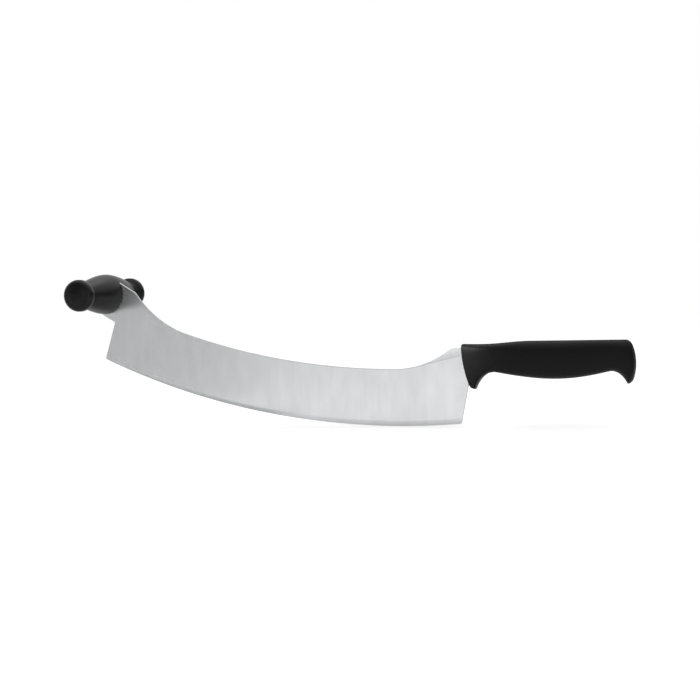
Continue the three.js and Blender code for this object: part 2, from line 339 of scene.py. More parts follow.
@dataclass(frozen=True)
class BrushedSteel:
    """Stainless steel sheet, brushed across the blade on a belt, with its rims and its edge left ground.

    The eye sees a satin grey with faint streaks from edge to spine, a rougher band along the cutting
    edge and the rims with painted shade that darkens it, and reflections that are drawn out along the
    blade but stay crisp across it. Sizes are in millimetres: a width is along the blade and a length
    is across it.
    """

    light: str = "d9dadb"
    dark: str = "c5c6c7"
    roughness: float = 0.26
    uneven: float = 0.02
    anisotropy: float = 0.85
    octaves: float = 1.0
    patch_width: float = 11.0
    patch_length: float = 26.0
    streak_width: float = 3.2
    streak_length: float = 16.0
    streak_share: float = 0.35
    scratch_width: float = 0.6
    scratch_length: float = 12.0
    scratch_depth: float = 0.02
    scratch_strength: float = 0.04
    # Painted shade: colour factor that darkens the edge band and the rims, standing in for the darker
    # reflections there
    painted_shade_tone: float = 0.91
    ground_roughness: float = 0.5
    rim_start: float = 0.9
    rim_full: float = 0.6
    belt_tone: float = 1.05
    belt_fade: float = 60.0

    def brushing(self, tree: NodeTree, place: NodeSocket) -> list[NodeSocket]:
        """Draw the lines of the brushing.

        Args:
            tree: Tree of the material.
            place: Object coordinates.

        Returns:
            Patches, streaks and scratches, each from 0 to 1.
        """
        # The real lines are finer than a pixel, so they are drawn as wide as the eye groups them
        layers = []
        for width, length in (
            (self.patch_width, self.patch_length),
            (self.streak_width, self.streak_length),
            (self.scratch_width, self.scratch_length),
        ):
            scale = (1 / (width * MM), 1 / (width * MM), 1 / (length * MM))
            drawn = add_node(tree, "ShaderNodeMapping", {"Vector": place, "Scale": scale}).outputs[0]
            noise = {"Vector": drawn, "Scale": 1.0, "Detail": self.octaves}
            layers.append(add_node(tree, "ShaderNodeTexNoise", noise).outputs["Fac"])
        return layers

    def ground(
        self,
        tree: NodeTree,
        place: NodeSocket,
        edge_center: Vector,
        edge_radius: float,
        bevel: float,
    ) -> NodeSocket:
        """Find the edge band and the rims, which were ground last and are rougher than the brushed sides,
        and which also get painted shade that darkens their colour.

        Args:
            tree: Tree of the material.
            place: Object coordinates.
            edge_center: Middle of the cutting edge's circle.
            edge_radius: Radius of that circle.
            bevel: Width of the ground band along the edge.

        Returns:
            1 where the steel is ground, and 0 where it is brushed.
        """
        flat = add_node(
            tree, "ShaderNodeVectorMath", {0: place, 1: SIDE_VIEW}, operation="MULTIPLY"
        ).outputs["Vector"]
        reach = add_node(
            tree, "ShaderNodeVectorMath", {0: flat, 1: edge_center}, operation="DISTANCE"
        ).outputs["Value"]
        edge = add_node(tree, "ShaderNodeMapRange", {
            "Value": reach,
            "From Min": edge_radius - bevel,
            "From Max": edge_radius,
        }).outputs["Result"]
        normal = add_node(tree, "ShaderNodeNewGeometry").outputs["Normal"]
        across = add_node(tree, "ShaderNodeSeparateXYZ", {0: normal}).outputs["Y"]
        facing = add_node(tree, "ShaderNodeMath", {0: across}, operation="ABSOLUTE").outputs[0]
        rim = add_node(tree, "ShaderNodeMapRange", {
            "Value": facing,
            "From Min": self.rim_start,
            "From Max": self.rim_full,
        }).outputs["Result"]
        return add_node(tree, "ShaderNodeMath", {0: edge, 1: rim}, operation="MAXIMUM").outputs[0]

    def belt(self, tree: NodeTree, place: NodeSocket, belt_line: float) -> NodeSocket:
        """Lighten the steel a little behind the line near the heel where the belt's last pass began.

        Args:
            tree: Tree of the material.
            place: Object coordinates.
            belt_line: Place of the line along X.

        Returns:
            Factor on the colour.
        """
        along = add_node(tree, "ShaderNodeSeparateXYZ", {0: place}).outputs["X"]
        faded = add_node(tree, "ShaderNodeMapRange", {
            "Value": along,
            "From Min": belt_line,
            "From Max": belt_line + self.belt_fade * MM,
            "To Min": self.belt_tone,
            "To Max": 1.0,
        }).outputs["Result"]
        passed = add_node(
            tree, "ShaderNodeMath", {0: along, 1: belt_line}, operation="GREATER_THAN"
        ).outputs[0]
        return add_node(
            tree, "ShaderNodeMix", {"Factor": passed, "A": 1.0, "B": faded}, data_type="FLOAT"
        ).outputs["Result"]

    def material(
        self, grain: str, belt_line: float, edge_center: Vector, edge_radius: float, bevel: float
    ) -> Material:
        """Make the material.

        Args:
            grain: Name of the UV map whose first axis runs along the blade.
            belt_line: Place along X where the last pass of the belt began near the heel.
            edge_center: Middle of the cutting edge's circle.
            edge_radius: Radius of that circle.
            bevel: Width of the ground band along the edge.

        Returns:
            The brushed steel.
        """
        made = bpy.data.materials.new("brushed_stainless_steel")
        made.use_nodes = True
        tree = made.node_tree
        shader = tree.nodes["Principled BSDF"]
        place = add_node(tree, "ShaderNodeTexCoord").outputs["Object"]
        patches, streaks, scratches = self.brushing(tree, place)
        ground = self.ground(tree, place, edge_center, edge_radius, bevel)

        lines = add_node(
            tree,
            "ShaderNodeMix",
            {"Factor": self.streak_share, "A": patches, "B": streaks},
            data_type="FLOAT",
        ).outputs["Result"]
        colour = add_node(
            tree,
            "ShaderNodeMix",
            {"Factor": lines, "A": linear(self.dark), "B": linear(self.light)},
            data_type="RGBA",
        ).outputs["Result"]
        # Painted shade: the colour is darkened on the edge band and the rims, where the reflections are
        # darker
        painted_edge_shade = add_node(tree, "ShaderNodeMapRange", {
            "Value": ground,
            "To Min": 1.0,
            "To Max": self.painted_shade_tone,
        }).outputs["Result"]
        belt = self.belt(tree, place, belt_line)
        tone = add_node(tree, "ShaderNodeMath", {0: painted_edge_shade, 1: belt}, operation="MULTIPLY").outputs[0]
        toned = add_node(tree, "ShaderNodeVectorMath", {0: colour, "Scale": tone}, operation="SCALE")
        tree.links.new(toned.outputs["Vector"], shader.inputs["Base Color"])

        satin = add_node(tree, "ShaderNodeMapRange", {
            "Value": scratches,
            "To Min": self.roughness - self.uneven,
            "To Max": self.roughness + self.uneven,
        }).outputs["Result"]
        rough = add_node(
            tree,
            "ShaderNodeMix",
            {"Factor": ground, "A": satin, "B": self.ground_roughness},
            data_type="FLOAT",
        )
        tree.links.new(rough.outputs["Result"], shader.inputs["Roughness"])
        bump = add_node(tree, "ShaderNodeBump", {
            "Height": scratches,
            "Strength": self.scratch_strength,
            "Distance": self.scratch_depth * MM,
        })
        tree.links.new(bump.outputs["Normal"], shader.inputs["Normal"])
        way = add_node(tree, "ShaderNodeTangent", direction_type="UV_MAP", uv_map=grain)
        tree.links.new(way.outputs["Tangent"], shader.inputs["Tangent"])
        shader.inputs["Metallic"].default_value = 1.0
        shader.inputs["Anisotropic"].default_value = self.anisotropy
        return made


@dataclass(frozen=True)
class MouldedPlastic:
    """Black polypropylene, moulded in a tool with a fine spark-eroded texture.

    The eye sees a deep black with a soft, slightly uneven gloss and a fine grain close up. Sizes are in
    millimetres.
    """

    name: str
    colour: str
    roughness: float
    specular: float
    grain: float
    grain_depth: float
    grain_strength: float = 0.5
    cloud: float = 18.0
    uneven: float = 0.05
    octaves: float = 2.0
    ior: float = 1.49

    def material(self) -> Material:
        """Make the material.

        Returns:
            The black plastic.
        """
        made = bpy.data.materials.new(self.name)
        made.use_nodes = True
        tree = made.node_tree
        shader = tree.nodes["Principled BSDF"]
        place = add_node(tree, "ShaderNodeTexCoord").outputs["Object"]

        # The real grain is about 0.1 mm wide, too fine to show, so it is drawn a few times coarser
        clouds, grains = (
            add_node(tree, "ShaderNodeTexNoise", {
                "Vector": place,
                "Scale": 1 / (size * MM),
                "Detail": self.octaves,
            }).outputs["Fac"]
            for size in (self.cloud, self.grain)
        )
        rough = add_node(tree, "ShaderNodeMapRange", {
            "Value": clouds,
            "To Min": self.roughness - self.uneven,
            "To Max": self.roughness + self.uneven,
        })
        tree.links.new(rough.outputs["Result"], shader.inputs["Roughness"])
        bump = add_node(tree, "ShaderNodeBump", {
            "Height": grains,
            "Strength": self.grain_strength,
            "Distance": self.grain_depth * MM,
        })
        tree.links.new(bump.outputs["Normal"], shader.inputs["Normal"])
        shader.inputs["Base Color"].default_value = linear(self.colour)
        shader.inputs["IOR"].default_value = self.ior
        shader.inputs["Specular IOR Level"].default_value = self.specular
        return made


@dataclass
class MainHandle:
    """Moulded handle behind the heel: guard, saddle, belly, saddle and hook along its underside."""

    finish: MouldedPlastic
    length: float = 144.5
    top: float = 13.5
    thumb_dip: float = 2.4
    thumb_dip_start: float = 18.0
    thumb_dip_end: float = 58.0
    front_lip: float = 0.5
    guard_depth: float = 26.9
    guard_station: float = 5.5
    guard_front_rise: float = 0.9
    saddle_depth: float = 12.3
    front_saddle_station: float = 28.7
    belly_depth: float = 18.5
    belly_station: float = 79.5
    rear_saddle_inset: float = 19.2
    hook_depth: float = 22.9
    hook_inset: float = 3.8
    finger_curve: float = 0.62
    front_half_width: float = 5.5
    front_taper: float = 30.0
    belly_half_width: float = 12.0
    saddle_half_width: float = 10.5
    butt_half_width: float = 12.0
    squareness: float = 2.6
    front_squareness: float = 5.0
    front_sweep: float = 7.7
    front_blend: float = 24.0
    front_round: float = 1.5
    butt_curve_radius: float = 48.4
    butt_crest: float = -6.4
    butt_blend: float = 30.0
    butt_round: float = 4.0
    stations: int = 220
    sides: int = 96

    def front(self) -> Vector:
        """Find the middle of the handle's front, in metres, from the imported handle's box."""
        low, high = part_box(Node.MAIN_HANDLE.value)
        return Vector((high.x - self.length * MM, 0.0, low.z + self.guard_depth * MM))

    def finger_share(self, station: float, start: float, end: float) -> float:
        """Ease from a bulge to a saddle, or back: 0 at the start and 1 at the end."""
        share = min(1.0, max(0.0, (station - start) / (end - start)))
        return smoothstep(share ** self.finger_curve, 0, 1)

    def underside(self, station: float) -> float:
        """Give the height of the underside at a station.

        Args:
            station: Place along the handle.

        Returns:
            Height above the handle's middle line.
        """
        rear_saddle = self.length - self.rear_saddle_inset
        hook = self.length - self.hook_inset
        if station < self.guard_station:
            rise = self.guard_front_rise * (1 - smoothstep(station, 0, self.guard_station))
            return rise - self.guard_depth
        if station < self.front_saddle_station:
            share = self.finger_share(station, self.guard_station, self.front_saddle_station)
            return mix(-self.guard_depth, -self.saddle_depth, share)
        if station < self.belly_station:
            share = self.finger_share(station, self.front_saddle_station, self.belly_station)
            return mix(-self.saddle_depth, -self.belly_depth, share)
        if station < rear_saddle:
            share = self.finger_share(station, rear_saddle, self.belly_station)
            return mix(-self.saddle_depth, -self.belly_depth, share)
        return mix(-self.hook_depth, -self.saddle_depth, self.finger_share(station, hook, rear_saddle))

    def topside(self, station: float) -> float:
        """Give the height of the top at a station, with the dip for the thumb behind the front's lip.

        Args:
            station: Place along the handle.

        Returns:
            Height above the handle's middle line.
        """
        dip = self.thumb_dip * (1 - smoothstep(station, self.thumb_dip_start, self.thumb_dip_end))
        share = max(0.0, 1 - station / self.thumb_dip_start)
        return self.top - dip + self.front_lip * share * share

    def half_width(self, station: float) -> float:
        """Give half of the handle's width at a station.

        Args:
            station: Place along the handle.

        Returns:
            Half of the width.
        """
        rear_saddle = self.length - self.rear_saddle_inset
        hook = self.length - self.hook_inset
        if station < self.belly_station:
            share = max(0.0, 1 - station / self.front_taper)
            return mix(self.belly_half_width, self.front_half_width, share * share)
        if station < rear_saddle:
            share = smoothstep(station, self.belly_station, rear_saddle)
            return mix(self.belly_half_width, self.saddle_half_width, share)
        return mix(self.saddle_half_width, self.butt_half_width, smoothstep(station, rear_saddle, hook))

    def sweep(self, station: float, height: float) -> float:
        """Place a point of a section along X: the front sweeps back and the butt is a bow.

        Args:
            station: Station of the section.
            height: Height of the point.

        Returns:
            The place along X.
        """
        front_top = self.top - self.thumb_dip
        fall = (front_top - height) / (front_top + self.guard_depth)
        lean = self.front_sweep * fall * fall * max(0.0, 1 - station / self.front_blend)
        sag = (height - self.butt_crest) ** 2 / (2 * self.butt_curve_radius)
        return station + lean - sag * max(0.0, 1 - (self.length - station) / self.butt_blend)

    def end_inset(self, distance: float, rounding: float) -> float:
        """Tell how far an end of that rounding draws every side in at that distance from it."""
        inside = max(0.0, rounding - distance)
        return rounding - math.sqrt(rounding * rounding - inside * inside)

    def section(self, station: float) -> list[Vector]:
        """Draw the oval section at a station.

        Args:
            station: Place along the handle.

        Returns:
            Points around the section.
        """
        inset = self.end_inset(station, self.front_round)
        inset += self.end_inset(self.length - station, self.butt_round)
        high = self.topside(station) - inset
        low = self.underside(station) + inset
        wide = self.half_width(station) - inset

        # A squareness of 2 gives an ellipse, and more squares its corners
        behind = smoothstep(station, self.thumb_dip_start, self.thumb_dip_end)
        power = 2 / mix(self.front_squareness, self.squareness, behind)
        ring = []
        for i in range(self.sides):
            angle = FULL_TURN * i / self.sides
            across, up = (
                math.copysign(abs(value) ** power, value)
                for value in (math.cos(angle), math.sin(angle))
            )
            height = (high + low) / 2 + up * (high - low) / 2
            ring.append(Vector((self.sweep(station, height), wide * across, height)))
        return ring

    def build(self, place: Matrix) -> Object:
        """Make and dress the handle.

        Args:
            place: Matrix from the knife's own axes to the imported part's.

        Returns:
            The finished piece.
        """
        turns = [math.pi * i / self.stations for i in range(self.stations + 1)]
        made = loft([self.section(self.length / 2 * (1 - math.cos(turn))) for turn in turns])

        # The walls are quads and shaded smooth, and the two caps are flat
        for face in made.faces:
            face.smooth = len(face.verts) == 4
        mesh = to_mesh("main_handle_moulding", made, place)
        mesh.materials.append(self.finish.material())
        return add_object(mesh.name, mesh)


@dataclass
class Blade:
    """Steel blade: a curved edge and spine, a shoulder, a neck, and the parts inside the mouldings."""

    finish: BrushedSteel
    handle_length: float
    thickness: float = 2.4
    edge_radius: float = 671.0
    spine_radius: float = 606.0
    width: float = 49.5
    spine_drop: float = 9.4
    low_point_reach: float = 55.4
    tip_reach: float = 279.0
    tip_length: float = 35.4
    tip_lean: float = math.radians(18.1)
    heel_setback: float = 1.5
    heel_lean: float = math.radians(11.6)
    corner_round: float = 1.6
    broken_edge: float = 0.6
    broken_steps: int = 4
    tip_bevel: float = 2.6
    heel_bevel: float = 4.8
    bevel_bow: float = 0.75
    bevel_steps: int = 8
    edge_thickness: float = 0.3
    wheel_radius: float = 29.0
    swage_width: float = 4.4
    swage_drop: float = 2.7
    swage_length: float = 40.0
    swage_slope: float = math.radians(13.0)
    swage_stop: float = 2.5
    shoulder_radius: float = 81.0
    shoulder_slope: float = math.radians(34.8)
    shoulder_crown: float = 10.0
    shoulder_height: float = 8.2
    shoulder_level: float = 5.5
    neck_fillet: float = 91.8
    neck_crown: float = 7.0
    neck_slope: float = math.radians(32.0)
    neck_length: float = 24.0
    shelf_slope: float = math.radians(28.4)
    shelf_length: float = 11.5
    shelf_round: float = 4.0
    eye_radius: float = 16.7
    eye_hole_radius: float = 6.0
    grip_back: float = 8.7
    grip_rise: float = 25.8
    tang_height: float = 13.0
    tang_step: float = 10.0
    tang_step_run: float = 3.0
    tang_round: float = 6.0
    tang_end_cover: float = 30.0
    tang_hole_radius: float = 3.5
    tang_hole_inset: float = 14.0
    tang_first_hole: float = 34.0
    belt_line: float = -31.0
    closest_points: float = 0.03
    cut_margin: float = 0.5
    ring_spare: float = 2.0
    wheel_sides: int = 720
    hole_sides: int = 96
    ring_steps: int = 160
    crease: float = math.radians(4.0)
    spine_center: Vector = field(init=False)
    edge_center: Vector = field(init=False)
    tip_angle: float = field(init=False)
    heel_angle: float = field(init=False)
    tip_corner: Vector = field(init=False)
    heel_corner: Vector = field(init=False)
    tip_notch: Vector = field(init=False)
    grip_axis: Vector = field(init=False)

    def __post_init__(self) -> None:
        """Work out the main places of the side view."""
        low = -self.low_point_reach
        self.spine_center = Vector((low, self.spine_radius - self.spine_drop))
        self.edge_center = Vector((low, self.edge_radius - self.spine_drop - self.width))
        self.tip_angle = DOWN - math.asin(self.tip_reach / self.edge_radius)
        self.heel_angle = DOWN + math.asin((self.low_point_reach - self.heel_setback) / self.edge_radius)
        self.tip_corner = on_circle(self.edge_center, self.edge_radius, self.tip_angle)
        self.heel_corner = on_circle(self.edge_center, self.edge_radius, self.heel_angle)
        self.tip_notch = on_circle(self.tip_corner, self.tip_length, math.pi / 2 - self.tip_lean)
        self.grip_axis = self.tip_notch + Vector((-self.grip_back, self.grip_rise))

    def tang_outline(self) -> list[Vector]:
        """Draw the heel and the tang, round to the top of the shoulder.

        Returns:
            Points in the side view.
        """
        half = self.tang_height / 2
        end = self.handle_length - self.tang_end_cover
        turn = self.corner_round / self.edge_radius
        edge_end = on_circle(self.edge_center, self.edge_radius, self.heel_angle - turn)
        heel_run = (-half - self.heel_corner.y) / math.cos(self.heel_lean)
        inner = on_circle(self.heel_corner, heel_run, math.pi / 2 - self.heel_lean)
        low_end = Vector((end, -half))
        high_end = Vector((end, half))
        step_foot = Vector((self.tang_step + self.tang_step_run, half))
        step_head = Vector((self.tang_step, self.shoulder_height))
        level = Vector((-self.shoulder_level, self.shoulder_height))
        run = [edge_end, self.heel_corner, inner, low_end, high_end, step_foot, step_head, level]
        step_round = self.tang_step_run / 2
        rounds = [self.corner_round, self.tang_round, half, half, step_round, step_round]
        points = []
        for before, corner, after, reach in zip(run, run[1:], run[2:], rounds):
            points += soft_corner(before, corner, after, reach)
        return points

    def shoulder_outline(self) -> tuple[list[Vector], float]:
        """Draw the shoulder: a crown, a straight climb and an arc that runs into the spine.

        Returns:
            Points in the side view, and the spine's angle where the arc meets it.
        """
        turn = math.pi / 2 + self.shoulder_slope
        crown_center = Vector((-self.shoulder_level, self.shoulder_height - self.shoulder_crown))
        climb_top = on_circle(crown_center, self.shoulder_crown, turn)
        offset = on_circle(climb_top, self.shoulder_radius, turn) - self.spine_center
        climb = Vector((math.cos(self.shoulder_slope), math.sin(self.shoulder_slope)))
        along = climb.dot(offset)
        reach = self.spine_radius - self.shoulder_radius
        climb_length = along + math.sqrt(along * along - offset.length_squared + reach * reach)
        center = self.spine_center + offset - climb * climb_length
        spine_angle = angle_of(center - self.spine_center)
        points = arc(crown_center, self.shoulder_crown, math.pi / 2, turn)
        points += arc(center, self.shoulder_radius, DOWN + self.shoulder_slope, spine_angle)
        return points, spine_angle

    def neck_outline(self) -> tuple[list[Vector], float]:
        """Draw the neck: a fillet out of the spine, a crown, a straight top, the eye and its shelf.

        Returns:
            Points in the side view, and the spine's angle where the fillet leaves it.
        """
        top_angle = math.pi / 2 - self.neck_slope
        straight_end = on_circle(self.grip_axis, self.neck_length, -self.neck_slope)
        crown_center = on_circle(straight_end, self.eye_radius - self.neck_crown, top_angle)
        reach = self.spine_radius - self.neck_fillet
        from_crown = self.neck_fillet + self.neck_crown
        fillet_center = circles_cross(self.spine_center, reach, crown_center, from_crown)
        spine_angle = angle_of(fillet_center - self.spine_center)
        turn_angle = angle_of(crown_center - fillet_center)
        shelf_end = on_circle(self.tip_notch, self.shelf_length, math.pi - self.shelf_slope)
        shelf_way = shelf_end - self.grip_axis
        eye_end = angle_of(shelf_way) - math.acos(self.eye_radius / shelf_way.length)
        points = arc(fillet_center, self.neck_fillet, spine_angle, turn_angle)
        points += arc(crown_center, self.neck_crown, turn_angle - math.pi, top_angle)
        points += arc(self.grip_axis, self.eye_radius, top_angle, eye_end)
        points += soft_corner(points[-1], shelf_end, self.tip_notch, self.shelf_round)
        return points, spine_angle

    def outline(self) -> list[Vector]:
        """Draw the whole side view, counter-clockwise from the corner of the tip.

        Returns:
            Points in the side view, none of them twice.
        """
        shoulder, shoulder_end = self.shoulder_outline()
        neck, neck_start = self.neck_outline()
        turn = self.corner_round / self.edge_radius
        edge = arc(self.edge_center, self.edge_radius, self.tip_angle + turn, self.heel_angle - turn)
        points = [
            *edge,
            *self.tang_outline(),
            *shoulder,
            *arc(self.spine_center, self.spine_radius, shoulder_end, neck_start),
            *neck,
            *soft_corner(neck[-1], self.tip_notch, self.tip_corner, self.corner_round),
            *soft_corner(self.tip_notch, self.tip_corner, edge[0], self.corner_round),
        ]
        gaps = [(each - points[i - 1]).length for i, each in enumerate(points)]
        return [each for each, gap in zip(points, gaps) if gap > self.closest_points]

    def sheet(self, place: Matrix) -> Mesh:
        """Cut the sheet of steel, with its sharp rims broken.

        Args:
            place: Matrix from the knife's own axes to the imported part's.

        Returns:
            The flat blank.
        """
        points = self.outline()
        faces = (-self.thickness / 2, self.thickness / 2)
        made = loft([[Vector((each.x, y, each.y)) for each in points] for y in faces])
        rims = [edge for edge in made.edges if len({vert.co.y for vert in edge.verts}) == 1]
        bmesh.ops.bevel(
            made, geom=rims, offset=self.broken_edge, offset_type="OFFSET", segments=self.broken_steps,
            profile=ROUND_PROFILE, affect="EDGES",
        )
        return to_mesh("blade_steel", made, place)

    def edge_ring(self, side: Side, place: Matrix) -> Object:
        """Make the tool that grinds one side of the cutting edge's bevel.

        Args:
            side: Side of the blade.
            place: Matrix from the knife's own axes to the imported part's.

        Returns:
            The tool.
        """
        face = self.thickness / 2
        depth = face - self.edge_thickness / 2
        spare = self.ring_spare / self.edge_radius
        sections = []
        for i in range(self.ring_steps + 1):
            share = i / self.ring_steps
            width = mix(self.tip_bevel, self.heel_bevel, smoothstep(share, 0, 1))

            # The bowed bevel, with a step more at each end so that the tool cuts clean through
            profile = []
            for step in range(-1, self.bevel_steps + 2):
                run = step / self.bevel_steps
                fall = mix(run, run * abs(run), self.bevel_bow)
                profile.append((self.edge_radius + width * (run - 1), face - depth * fall))
            profile.append((profile[-1][0], face + self.cut_margin))
            profile.append((profile[0][0], face + self.cut_margin))
            angle = mix(self.tip_angle - spare, self.heel_angle + spare, share)
            ring = []
            for radius, out in profile:
                spot = on_circle(self.edge_center, radius, angle)
                ring.append(Vector((spot.x, side.value * out, spot.y)))
            sections.append(ring)
        return add_object("edge_ring", to_mesh("edge_ring", loft(sections), place))

    def shoulder_wheel(self, side: Side, place: Matrix) -> Object:
        """Make the grinding wheel that hollows one side of the shoulder.

        Args:
            side: Side of the blade.
            place: Matrix from the knife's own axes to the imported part's.

        Returns:
            The tool.
        """
        out = self.thickness / 2 + math.sqrt(self.wheel_radius ** 2 - self.swage_width ** 2)
        spot = Vector((-self.swage_stop, side.value * out, self.shoulder_height - self.swage_drop))
        lay = (
            Matrix.Translation(spot)
            @ Matrix.Rotation(-self.swage_slope, 4, "Y")
            @ Matrix.Translation((-self.swage_length / 2, 0, 0))
            @ Matrix.Rotation(math.pi / 2, 4, "Y")
        )
        return cylinder(
            "shoulder_wheel", self.wheel_radius, self.swage_length, self.wheel_sides, lay, place
        )

    def punches(self, place: Matrix) -> list[Object]:
        """Make the punches for the hidden holes that lock the steel into its mouldings.

        Args:
            place: Matrix from the knife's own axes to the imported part's.

        Returns:
            The tools.
        """
        last_hole = self.handle_length - self.tang_end_cover - self.tang_hole_inset
        depth = self.thickness + 2 * self.cut_margin
        tools = []
        for center, radius in (
            (Vector((self.tang_first_hole, 0)), self.tang_hole_radius),
            (Vector((last_hole, 0)), self.tang_hole_radius),
            (self.grip_axis, self.eye_hole_radius),
        ):
            lay = Matrix.Translation((center.x, 0, center.y)) @ Matrix.Rotation(math.pi / 2, 4, "X")
            tools.append(cylinder("punch", radius, depth, self.hole_sides, lay, place))
        return tools

    def build(self, place: Matrix) -> Object:
        """Make and dress the blade.

        Args:
            place: Matrix from the knife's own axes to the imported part's.

        Returns:
            The finished piece.
        """
        piece = add_object("blade_steel", self.sheet(place))
        tools = [make(side, place) for side in Side for make in (self.edge_ring, self.shoulder_wheel)]
        tools += self.punches(place)
        for tool in tools:
            cut = piece.modifiers.new(tool.name, "BOOLEAN")
            cut.object = tool
            cut.operation = "DIFFERENCE"
            cut.solver = "EXACT"
        bake(piece)
        for tool in tools:
            bpy.data.meshes.remove(tool.data)
        mesh = piece.data
        mesh.shade_smooth()
        mesh.set_sharp_from_angle(angle=self.crease)
        grain = mesh.uv_layers.new(name="along_the_blade")
        for loop in mesh.loops:
            spot = mesh.vertices[loop.vertex_index].co
            grain.data[loop.index].uv = (spot.x, spot.z)
        mesh.materials.clear()
        mesh.materials.append(self.finish.material(
            grain.name,
            belt_line=(place @ Vector((self.belt_line, 0, 0))).x,
            edge_center=place @ Vector((self.edge_center.x, 0, self.edge_center.y)),
            edge_radius=self.edge_radius * MM,
            bevel=self.heel_bevel * MM,
        ))
        return piece


@dataclass
class CrossGrip:
    """Turned grip square to the blade: a barrel between two knobs."""

    finish: MouldedPlastic
    length: float = 115.0
    barrel_radius: float = 18.2
    barrel_crest: float = 14.0
    waist_radius: float = 10.0
    waist_inset: float = 13.4
    knob_radius: float = 14.1
    knob_rim: float = 3.1
    knob_round: float = 4.5
    knob_dome: float = 1.5
    seam: float = 0.002
    steps_along: int = 20
    steps_around: int = 144

    def inputs(self, middle: Vector) -> dict[str, SocketValue]:
        """Give the tree's inputs.

        Args:
            middle: Place of the grip's middle.

        Returns:
            The value of each input by its name, with sizes in metres.
        """
        return {
            "Length": self.length * MM,
            "Barrel radius": self.barrel_radius * MM,
            "Barrel crest": self.barrel_crest * MM,
            "Waist radius": self.waist_radius * MM,
            "Waist inset": self.waist_inset * MM,
            "Knob radius": self.knob_radius * MM,
            "Knob rim": self.knob_rim * MM,
            "Knob round": self.knob_round * MM,
            "Knob dome": self.knob_dome * MM,
            "Seam": self.seam * MM,
            "Steps along": self.steps_along,
            "Steps around": self.steps_around,
            "Middle": middle,
            "Finish": self.finish.material(),
        }

    def sizes(self, tree: GeometryNodeTree, inputs: dict[str, SocketValue]) -> dict[str, NodeSocket]:
        """Args:
            tree: The node tree.
            inputs: The value of each input, which also gives its kind.

        Returns:
            The socket of each size by its name.
        """
        for name, value in inputs.items():
            tree.interface.new_socket(name, in_out="INPUT", socket_type=SOCKET_TYPES[type(value)])
        given = add_node(tree, "NodeGroupInput").outputs
        size = {name: given[name] for name in inputs}
        for name, first, operation, second in (
            ("End", "Length", "MULTIPLY", 0.5),
            ("Face", "End", "SUBTRACT", "Knob dome"),
            ("Rim", "Face", "SUBTRACT", "Knob round"),
            ("Rim end", "Rim", "SUBTRACT", "Knob rim"),
            ("Waist", "End", "SUBTRACT", "Waist inset"),
            ("Both sides of the flank", "Rim end", "ADD", "Waist"),
            ("Flank", "Both sides of the flank", "MULTIPLY", 0.5),
            ("Flat", "Knob radius", "SUBTRACT", "Knob round"),
            ("Half of the flat", "Flat", "MULTIPLY", 0.5),
        ):
            terms = {0: size[first], 1: size.get(second, second)}
            size[name] = add_node(tree, "ShaderNodeMath", terms, operation=operation).outputs[0]
        return size

    def profile(self, tree: GeometryNodeTree, size: dict[str, NodeSocket]) -> NodeSocket:
        """Draw half of the profile: the radius is along X and the grip's axis along Y.

        Args:
            tree: The node tree.
            size: The socket of each size by its name.

        Returns:
            The curves from the barrel's middle to the knob's end.
        """
        spot = {}
        for radius, along in (
            (0.0, "End"),
            ("Half of the flat", "End"),
            ("Flat", "Face"),
            ("Flat", "Rim"),
            ("Knob radius", "Rim"),
            ("Knob radius", "Rim end"),
            ("Knob radius", "Flank"),
            ("Waist radius", "Flank"),
            ("Waist radius", "Waist"),
            ("Barrel radius", "Barrel crest"),
            ("Barrel radius", 0.0),
        ):
            parts = {"X": size.get(radius, radius), "Y": size.get(along, along)}
            spot[radius, along] = add_node(tree, "ShaderNodeCombineXYZ", parts).outputs[0]

        dome = add_node(tree, "GeometryNodeCurveQuadraticBezier", {
            "Resolution": size["Steps along"],
            "Start": spot[0.0, "End"],
            "Middle": spot["Half of the flat", "End"],
            "End": spot["Flat", "Face"],
        })
        quarter = add_node(tree, "GeometryNodeCurveArc", {
            "Resolution": size["Steps along"],
            "Radius": size["Knob round"],
            "Start Angle": math.pi / 2,
            "Sweep Angle": -math.pi / 2,
        })
        corner = add_node(tree, "GeometryNodeTransform", {
            "Geometry": quarter.outputs[0],
            "Translation": spot["Flat", "Rim"],
        })
        side = add_node(tree, "GeometryNodeCurvePrimitiveLine", {
            "Start": spot["Knob radius", "Rim"],
            "End": spot["Knob radius", "Rim end"],
        })
        hollow = add_node(tree, "GeometryNodeCurvePrimitiveBezierSegment", {
            "Resolution": size["Steps along"],
            "Start": spot["Knob radius", "Rim end"],
            "Start Handle": spot["Knob radius", "Flank"],
            "End Handle": spot["Waist radius", "Flank"],
            "End": spot["Waist radius", "Waist"],
        })
        barrel = add_node(tree, "GeometryNodeCurveQuadraticBezier", {
            "Resolution": size["Steps along"],
            "Start": spot["Waist radius", "Waist"],
            "Middle": spot["Barrel radius", "Barrel crest"],
            "End": spot["Barrel radius", 0.0],
        })
        joined = add_node(tree, "GeometryNodeJoinGeometry")
        for run in (barrel, hollow, side, corner, dome):
            tree.links.new(run.outputs[0], joined.inputs[0])
        return joined.outputs[0]

    def turned(
        self,
        tree: GeometryNodeTree,
        size: dict[str, NodeSocket],
        profile: NodeSocket,
    ) -> NodeSocket:
        """Turn half of the profile about the grip's axis, and close it with its mirror image.

        Args:
            tree: The node tree.
            size: The socket of each size by its name.
            profile: The curves of half of the profile.

        Returns:
            The closed grip about the origin.
        """
